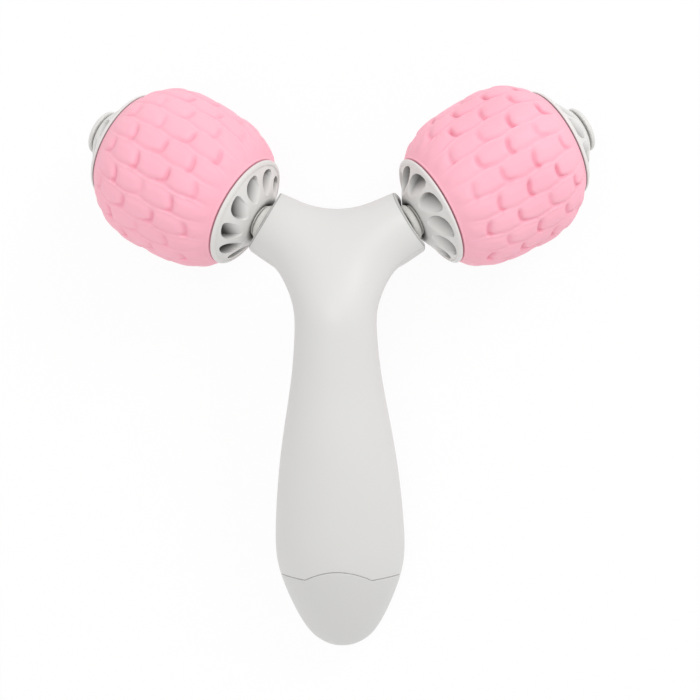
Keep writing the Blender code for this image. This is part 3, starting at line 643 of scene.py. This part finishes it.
# The rounded end of the sleeve: how far below its radius and from its end face
SLEEVE_END = ((0.00005, 0.00012), (0.00016, 0.00003), (0.0004, 0.0), (0.0020, 0.0))

SCOOP_COUNT = 10
# One scoop: share of the way from the nose to the rim, and share of the pitch round the end
SCOOP_OUTLINE = ((0.10, 0.27), (0.16, 0.03), (0.36, -0.03), (0.56, 0.06), (0.71, 0.24),
                 (0.77, 0.49), (0.77, 0.76), (0.50, 0.77), (0.20, 0.62))
# How wide the scoops of each roller are, and how much painted shade they get
SCOOP_SPREAD = {"left": 1.0, "right": 1.18}
SCOOP_SHADE = {"left": 0.98, "right": 0.78}
SCOOP_LEAN = math.radians(34.0)
SCOOP_STEP = 0.0030
SCOOP_RAMP = 0.0016
RIM_LIP = 0.0007
RIM_RISE = 0.0009
RIM_GROOVE = 0.0019
END_SEGMENTS = 540
CONE_RINGS = 90
# Radius, height and depth of the counterbore of the nose on each end
INNER_NOSE = (0.0082, 0.0074, 0.0022)
OUTER_NOSE = (0.0083, 0.0099, 0.0058)
NOSE_BORE = 0.0052
NOSE_COUNTERBORE = 0.0060

KNOB_GAP = 0.0009
KNOB_TOP = 0.0130
# Outer and inner radius, both ends along the axle, and rounding of the edges
COLLAR_RING = (0.0067, 0.0033, 0.0284, 0.0313, 0.0014)
THRUST_RING = (0.0057, 0.0033, 0.0317, 0.0325, 0.0002)


def smooth_step(values):
    """Values from 0 to 1, eased at both ends."""
    values = np.clip(values, 0, 1)
    return values * values * (3 - 2 * values)


def crown(share):
    """The tread's radius at a share of its length."""
    return RIM_RADIUS + (CROWN_RADIUS - RIM_RADIUS) * (1 - abs(2 * share - 1) ** CROWN_POWER)


def grid_mesh(points):
    """A bmesh of a grid of points; its rows close on themselves."""
    bm = bmesh.new()
    verts = [[bm.verts.new(point) for point in row] for row in points]
    count = len(verts[0])
    for low, high in zip(verts, verts[1:]):
        for index in range(count):
            after = (index + 1) % count
            bm.faces.new((low[index], low[after], high[after], high[index]))
    return bm


def notch_line(kind, down):
    """How far a notch lies from its middle, along the roller, at a distance down its row."""
    below = np.clip(down + 0.0008, 0, None) / 0.0035
    hooked = 0.0018 * below ** 3.6 - 0.10 * down
    straight = 0.0010 * below ** 3 - 0.36 * down
    return np.minimum(np.where(kind, hooked, straight), 0.008)


def tread_field(share, turn, word):
    """Height of the tread over its groove floor, and its painted shade, at each place."""
    # The row and the column of each place; the lines between rows zigzag
    phase = TREAD_PHASES[word]
    pitch = math.tau / TREAD_ROWS
    half_cell = (1 - 2 * TREAD_BAND) * ROLLER_LENGTH / HALF_PADS
    column = 1 + (share - TREAD_BAND) / (1 - 2 * TREAD_BAND) * HALF_PADS
    row = (turn - phase) / pitch
    index = np.floor(row)
    off = row - index - 0.5
    half = 0.5 + ZIGZAG * np.cos(math.pi * (column + index))
    outside = np.abs(off) > half
    step = np.where(off > 0, 1, -1)
    index = np.where(outside, index + step, index)
    off = np.where(outside, off - step, off)
    index = np.mod(index - FIRST_ROW[word], TREAD_ROWS) + FIRST_ROW[word]
    half = 0.5 + ZIGZAG * np.cos(math.pi * (column + index))
    radius = crown(np.clip(share, 0, 1))
    to_row = (half - np.abs(off)) * pitch * radius

    # The nearest notch, its kind and the distance to it
    parity = np.mod(index, 2).astype(int)
    nearest = 2 * np.round((column + index - 1) / 2) + 1 - index
    chance = np.mod(np.sin(index * 12.9898 + nearest * 78.233) * 437.5, 1)
    from_notch = (column - nearest) * half_cell + 0.0010 * (chance - 0.5)
    which = np.clip(((nearest - 2 - (1 - parity)) / 2).astype(int), 0, 3)
    kinds = np.array([[letter == "U" for letter in row] for row in NOTCH_KINDS[word]])
    kind = kinds[np.mod(index, 4).astype(int), which]
    down = (1 if word == "right" else -1) * off * pitch * radius
    line = notch_line(kind, down)
    slope = (notch_line(kind, down + 0.0001) - line) / 0.0001
    to_notch = np.abs(from_notch - line) / np.sqrt(1 + slope ** 2)
    real = (nearest > 1.5) & (nearest < HALF_PADS + 0.5)
    to_notch = np.where(real, to_notch, 1.0)

    # The sunk lower edges of the pads and the raised lines between rows
    patchy = 0.5 + 0.5 * np.sin(turn * 7 + share * 9.1 + 1.0) * np.cos(turn * 3 - share * 5.7)
    edge = np.exp(-((to_row - 0.0006) / EDGE_WIDTH) ** 2) * smooth_step(to_row / 0.0006)
    inner = smooth_step((np.minimum(share, 1 - share) - 0.03) / 0.13)
    edge *= np.where(down > 0, 1.2, 0.2) * (0.45 + 0.55 * patchy) * inner
    net = np.exp(-(to_row / NET_WIDTH) ** 2) * (0.4 + 0.6 * patchy) * (0.25 + 0.75 * inner)

    # The notches, which fade out toward both of their ends
    strength = NOTCH_STRENGTH[word] + 0.64 * np.mod(chance * 7.31, 1)
    strength = strength * (0.62 + 0.50 * np.roll(patchy, 9, axis=1))
    tail = smooth_step(np.clip(line, 0, None) / 0.0040)
    fade = smooth_step((down + 0.0036) / 0.0026) * (1 - 0.92 * tail)
    near_row = smooth_step((to_row + 0.0003) / 0.0009)
    notch = np.exp(-(to_notch / NOTCH_WIDTH) ** 2) * near_row * fade * strength
    dip = np.exp(-(to_notch / DIP_WIDTH) ** 2)
    pillow = smooth_step(np.minimum(to_row, to_notch) / PILLOW_WIDTH)
    band = smooth_step((np.minimum(share, 1 - share) - 0.018) / 0.05)
    height = PAD_BASE + band * (PILLOW_RISE * pillow - EDGE_DROP * edge + NET_RISE * net
                                - NOTCH_DROP * notch - DIP_DROP * dip * fade)
    # Painted shade in the notches and along the pads' lower edges, stronger on one side, and
    # painted highlight on the raised net lines, over an even slight darkening
    hollow = np.clip(0.12 + band * (0.78 * notch + 0.16 * edge - 0.26 * net), 0, 1)
    return height, hollow


def set_hollow(thing, values):
    """Store each point's painted shade, for the material."""
    attribute = thing.data.attributes.new("hollow", "FLOAT", "POINT")
    attribute.data.foreach_set("value", values.ravel().astype(np.float32))


def make_tread(word, place):
    """The rubber sleeve with its rows of pillow pads, notches and raised net lines."""
    around = TREAD_ROWS * ROW_STEPS
    length = ROLLER_LENGTH - 2 * SLEEVE_GAP
    turns = math.tau * np.arange(around) / around
    shares = np.linspace(SLEEVE_LIP / length, 1 - SLEEVE_LIP / length, LENGTH_STEPS + 1)
    share, turn = np.meshgrid(shares, turns, indexing="ij")
    height, hollow = tread_field(share, turn, word)
    shift = CROWN_SHIFT * np.sin(math.tau * (share - 0.5))
    radius = crown(share) - GROOVE_DEPTH + height + shift
    level = SLEEVE_GAP + length * share
    # Rounded ends that turn down to the sleeve's bore
    radii = [radius[0] - drop for drop, _ in reversed(SLEEVE_END)] + list(radius)
    radii += [radius[-1] - drop for drop, _ in SLEEVE_END]
    levels = [np.full(around, SLEEVE_GAP + lift) for _, lift in reversed(SLEEVE_END)] + list(level)
    levels += [np.full(around, ROLLER_LENGTH - SLEEVE_GAP - lift) for _, lift in SLEEVE_END]
    flat = [np.zeros(around)] * len(SLEEVE_END)
    radius, level = np.array(radii), np.array(levels)
    points = np.stack([radius * np.cos(turns), radius * np.sin(turns), level], axis=2)
    bm = grid_mesh(points.tolist())
    thing = object_from(bm, f"{word}_tread", RUBBER, f"{word}_roller", place, 60.0)
    set_hollow(thing, np.array(flat + list(hollow) + flat))
    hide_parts(f"{word}_tread_sleeve")


def cone_height(radius, nose_radius, nose_height):
    """Height of the cone into which the scoops are cut."""
    lip = RIM_RADIUS - RIM_LIP
    return RIM_RISE + (nose_height - RIM_RISE) * (lip - radius) / (lip - nose_radius)


def smooth_outline(points, rounds=3):
    """A closed outline with its corners cut again and again."""
    for _ in range(rounds):
        cut = []
        for here, after in zip(points, points[1:] + points[:1]):
            cut.append(tuple(0.75 * a + 0.25 * b for a, b in zip(here, after)))
            cut.append(tuple(0.25 * a + 0.75 * b for a, b in zip(here, after)))
        points = cut
    return points


def scoop_depth(radius, turn, nose_radius, spread):
    """How far the scoops lie below the cone at each place: a ramp, deepest at one wall."""
    pitch = math.tau / SCOOP_COUNT
    middle = sum(side for _, side in SCOOP_OUTLINE) / len(SCOOP_OUTLINE)
    folded = np.mod(turn / pitch + middle + 0.5, 1) - 0.5
    x, y = radius * np.cos(folded * pitch), radius * np.sin(folded * pitch)
    corners = []
    for share, side in SCOOP_OUTLINE:
        away = nose_radius + (RIM_RADIUS - nose_radius) * share * (0.55 + 0.45 * spread)
        angle = (middle - side) * pitch * spread
        corners.append((away * math.cos(angle), away * math.sin(angle)))
    outline = smooth_outline(corners)
    outline.append(outline[0])
    distance = np.full(x.shape, 1.0)
    inside = np.zeros(x.shape, bool)
    for (x1, y1), (x2, y2) in zip(outline, outline[1:]):
        dx, dy = x2 - x1, y2 - y1
        share = np.clip(((x - x1) * dx + (y - y1) * dy) / (dx * dx + dy * dy), 0, 1)
        distance = np.minimum(distance, np.hypot(x - x1 - share * dx, y - y1 - share * dy))
        crosses = (y1 > y) != (y2 > y)
        inside ^= crosses & (x < x1 + (y - y1) * dx / (dy or 1e-12))
    signed = np.where(inside, 1, -1) * distance
    across = x * math.cos(SCOOP_LEAN) + y * math.sin(SCOOP_LEAN)
    places = [cx * math.cos(SCOOP_LEAN) + cy * math.sin(SCOOP_LEAN) for cx, cy in corners]
    share = np.clip((across - min(places)) / (max(places) - min(places)) - 0.06, 0, 1)
    depth = SCOOP_STEP * smooth_step(1.35 * share) + SCOOP_RAMP * share
    return depth * smooth_step((signed + 0.00004) / 0.00026)


def make_core(word, end, nose, place):
    """One louvred end: nose, scooped cone and rim lip."""
    nose_radius, nose_height, counterbore = nose
    floor = nose_height - counterbore
    groove = RIM_RADIUS - RIM_GROOVE
    inner = [(NOSE_BORE, floor), (NOSE_COUNTERBORE, floor), (NOSE_COUNTERBORE, nose_height),
             (nose_radius, nose_height),
             (nose_radius + 0.0012, cone_height(nose_radius + 0.0012, nose_radius, nose_height))]
    profile = rounded(inner, 0.0004)[:-1]
    for radius in np.linspace(profile[-1][0], groove, CONE_RINGS)[1:]:
        profile.append((radius, cone_height(radius, nose_radius, nose_height)))
    foot = profile[-1][1]
    lip = [(groove, foot), (RIM_RADIUS - 0.0016, foot - 0.00012),
           (RIM_RADIUS - 0.0013, foot + 0.00020), (RIM_RADIUS - 0.0004, 0.0013),
           (RIM_RADIUS, 0.0009), (RIM_RADIUS - 0.0001, 0.00022), (RIM_RADIUS - 0.0008, 0.0001),
           (RIM_RADIUS - 0.0016, 0.0001), (RIM_RADIUS - 0.0016, -0.0025)]
    profile += rounded(lip, 0.0004)[1:]
    turns = math.tau * np.arange(END_SEGMENTS) / END_SEGMENTS
    radii = np.array([radius for radius, _ in profile])[:, None] * np.ones(END_SEGMENTS)
    heights = np.array([height for _, height in profile])[:, None] * np.ones(END_SEGMENTS)
    scooped = (radii > nose_radius + 0.001) & (radii < RIM_RADIUS - 0.0013) & (heights > 0)
    around = turns[None, :] * np.ones(radii.shape)
    depth = np.where(scooped, scoop_depth(radii, around, nose_radius, SCOOP_SPREAD[word]), 0)
    heights = heights - depth
    points = np.stack([radii * np.cos(turns), radii * np.sin(turns), heights], axis=2)
    bm = grid_mesh(points.tolist())
    bmesh.ops.recalc_face_normals(bm, faces=bm.faces)
    thing = object_from(bm, f"{word}_{end}_louvre", END, f"{word}_roller",
                        place, 50.0)
    # Painted shade in the scoops, in the nose's hole and below the rim
    shade = SCOOP_SHADE[word] * np.clip(depth / 0.0032, 0, 1) ** 1.15
    shade = np.where(radii < nose_radius - 0.0006, 1.0, shade)
    shade = np.where((radii > RIM_RADIUS - 0.0017) & (heights < 0.0003), 0.6, shade)
    set_hollow(thing, shade)
    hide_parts(f"{word}_{end}_core")


def make_knob(word, place):
    """The end knob: a stem, a rounded rim and a low dome with a sunk flat middle."""
    base = ROLLER_STATION + ROLLER_LENGTH + OUTER_NOSE[1] + KNOB_GAP
    top = ROLLER_STATION + ROLLER_LENGTH + KNOB_TOP
    points = [(0.0056, base - 0.003), (0.0056, base), (0.0079, base), (0.0083, base + 0.0003),
              (0.0083, base + 0.0008), (0.0080, base + 0.0014), (0.0072, top - 0.0003),
              (0.0058, top - 0.0001), (0.0046, top), (0.0043, top - 0.00025), (0.0, top - 0.00025)]
    bm = lathe(rounded(points, 0.0004), 128)
    thing = object_from(bm, f"{word}_knob_cap", KNOB, "handle", place)
    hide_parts(f"{word}_end_knob")


def make_ring(name, node, sizes, place):
    """A nylon ring on the axle with softly broken edges."""
    outer, inner, low, high, soft = sizes
    middle = ((inner + outer) / 2, low)
    # The doubled point keeps the upper edge of the bore sharp
    points = [middle, (outer, low), (outer, high), (inner, high), (inner, high), (inner, low),
              middle]
    bm = lathe(rounded(points, soft, 6), 96)
    bmesh.ops.remove_doubles(bm, verts=bm.verts, dist=1e-6)
    thing = object_from(bm, name, NYLON, "handle", place)
    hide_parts(node)


for side, word in SIDES:
    axle = axle_place(side)
    roller = (axle @ Matrix.Translation((0, 0, ROLLER_STATION))
              @ Matrix.Rotation(ROLLER_TURNS[word], 4, "Z"))
    make_tread(word, roller)
    make_core(word, "inner", INNER_NOSE, roller @ Matrix.Rotation(math.pi, 4, "X"))
    make_core(word, "outer", OUTER_NOSE, roller @ Matrix.Translation((0, 0, ROLLER_LENGTH)))
    make_knob(word, axle)
    make_ring(f"{word}_collar_ring", f"{word}_arm_collar", COLLAR_RING, axle)
    make_ring(f"{word}_thrust_ring", f"{word}_inner_washer", THRUST_RING, axle)


# Carried-over nodes

def paint(names, material):
    """Give CAD pieces that are shown as they are one of the materials."""
    for name in names:
        thing = frame["nodes"][name]
        thing.data.materials.clear()
        thing.data.materials.append(material)


paint([f"shell_screw_{number}" for number in (1, 2, 3, 4)], ZINC)
for _, word in SIDES:
    paint([f"{word}_axle", f"{word}_lock_nut", f"{word}_outer_washer"], STEEL)
    paint([f"{word}_inner_bush", f"{word}_outer_bush"], NYLON)


# Stage

WHITE = (1, 1, 1, 1)
WORLD_STRENGTH = 0.72
FLOOR_RADIUS = 2.5
FLOOR_LEVEL = -0.0008
FLOOR_GLOW = 0.92
LIGHT_AIM = Vector((0, 0, 0.03))


def seen_directly(nodes, links):
    """1 for rays from the camera, off gloss and through glass, 0 for all others."""
    path = nodes.new("ShaderNodeLightPath")
    total = path.outputs["Is Camera Ray"]
    for name in ("Is Glossy Ray", "Is Transmission Ray"):
        add = nodes.new("ShaderNodeMath")
        add.operation = "MAXIMUM"
        links.new(total, add.inputs[0])
        links.new(path.outputs[name], add.inputs[1])
        total = add.outputs[0]
    return total


def make_world():
    """White where it is seen, a little dimmer as a light."""
    world = bpy.data.worlds.new("studio")
    bpy.context.scene.world = world
    world.use_nodes = True
    nodes, links = world.node_tree.nodes, world.node_tree.links
    nodes.clear()
    seen = nodes.new("ShaderNodeBackground")
    seen.inputs["Color"].default_value = WHITE
    seen.inputs["Strength"].default_value = 1.0
    lit = nodes.new("ShaderNodeBackground")
    lit.inputs["Color"].default_value = WHITE
    lit.inputs["Strength"].default_value = WORLD_STRENGTH
    mix = nodes.new("ShaderNodeMixShader")
    out = nodes.new("ShaderNodeOutputWorld")
    links.new(seen_directly(nodes, links), mix.inputs["Fac"])
    links.new(lit.outputs[0], mix.inputs[1])
    links.new(seen.outputs[0], mix.inputs[2])
    links.new(mix.outputs[0], out.inputs["Surface"])


def make_floor():
    """A wide pale floor that is nearly white where it is seen and still takes shadows."""
    bm = bmesh.new()
    bmesh.ops.create_circle(bm, cap_ends=True, segments=64, radius=FLOOR_RADIUS)
    mesh = bpy.data.meshes.new("floor")
    bm.to_mesh(mesh)
    bm.free()
    floor = bpy.data.objects.new("floor", mesh)
    bpy.context.scene.collection.objects.link(floor)
    floor.location.z = FLOOR_LEVEL
    material, nodes, links, shader = new_material("pale_floor", (0.97, 0.97, 0.97), 0.9)
    mesh.materials.append(material)
    glow = nodes.new("ShaderNodeEmission")
    glow.inputs["Color"].default_value = WHITE
    glow.inputs["Strength"].default_value = 1.0
    mix = nodes.new("ShaderNodeMixShader")
    share = nodes.new("ShaderNodeMath")
    share.operation = "MULTIPLY"
    share.inputs[1].default_value = FLOOR_GLOW
    links.new(seen_directly(nodes, links), share.inputs[0])
    links.new(share.outputs[0], mix.inputs["Fac"])
    links.new(shader.outputs[0], mix.inputs[1])
    links.new(glow.outputs[0], mix.inputs[2])
    links.new(mix.outputs[0], nodes["Material Output"].inputs["Surface"])


def area_light(name, place, size, energy):
    """A round soft light that faces the object."""
    light = bpy.data.lights.new(name, "AREA")
    light.shape = "DISK"
    light.size = size
    light.energy = energy
    thing = bpy.data.objects.new(name, light)
    bpy.context.scene.collection.objects.link(thing)
    thing.location = place
    thing.rotation_mode = "QUATERNION"
    thing.rotation_quaternion = (LIGHT_AIM - Vector(place)).to_track_quat("-Z", "Y")


make_world()
make_floor()
area_light("key_light", (0.65, 0.75, 0.85), 0.5, 3.9)
area_light("front_fill", (-0.1, 0.0, 1.3), 0.7, 3.0)

bpy.context.scene.view_settings.view_transform = "Standard"
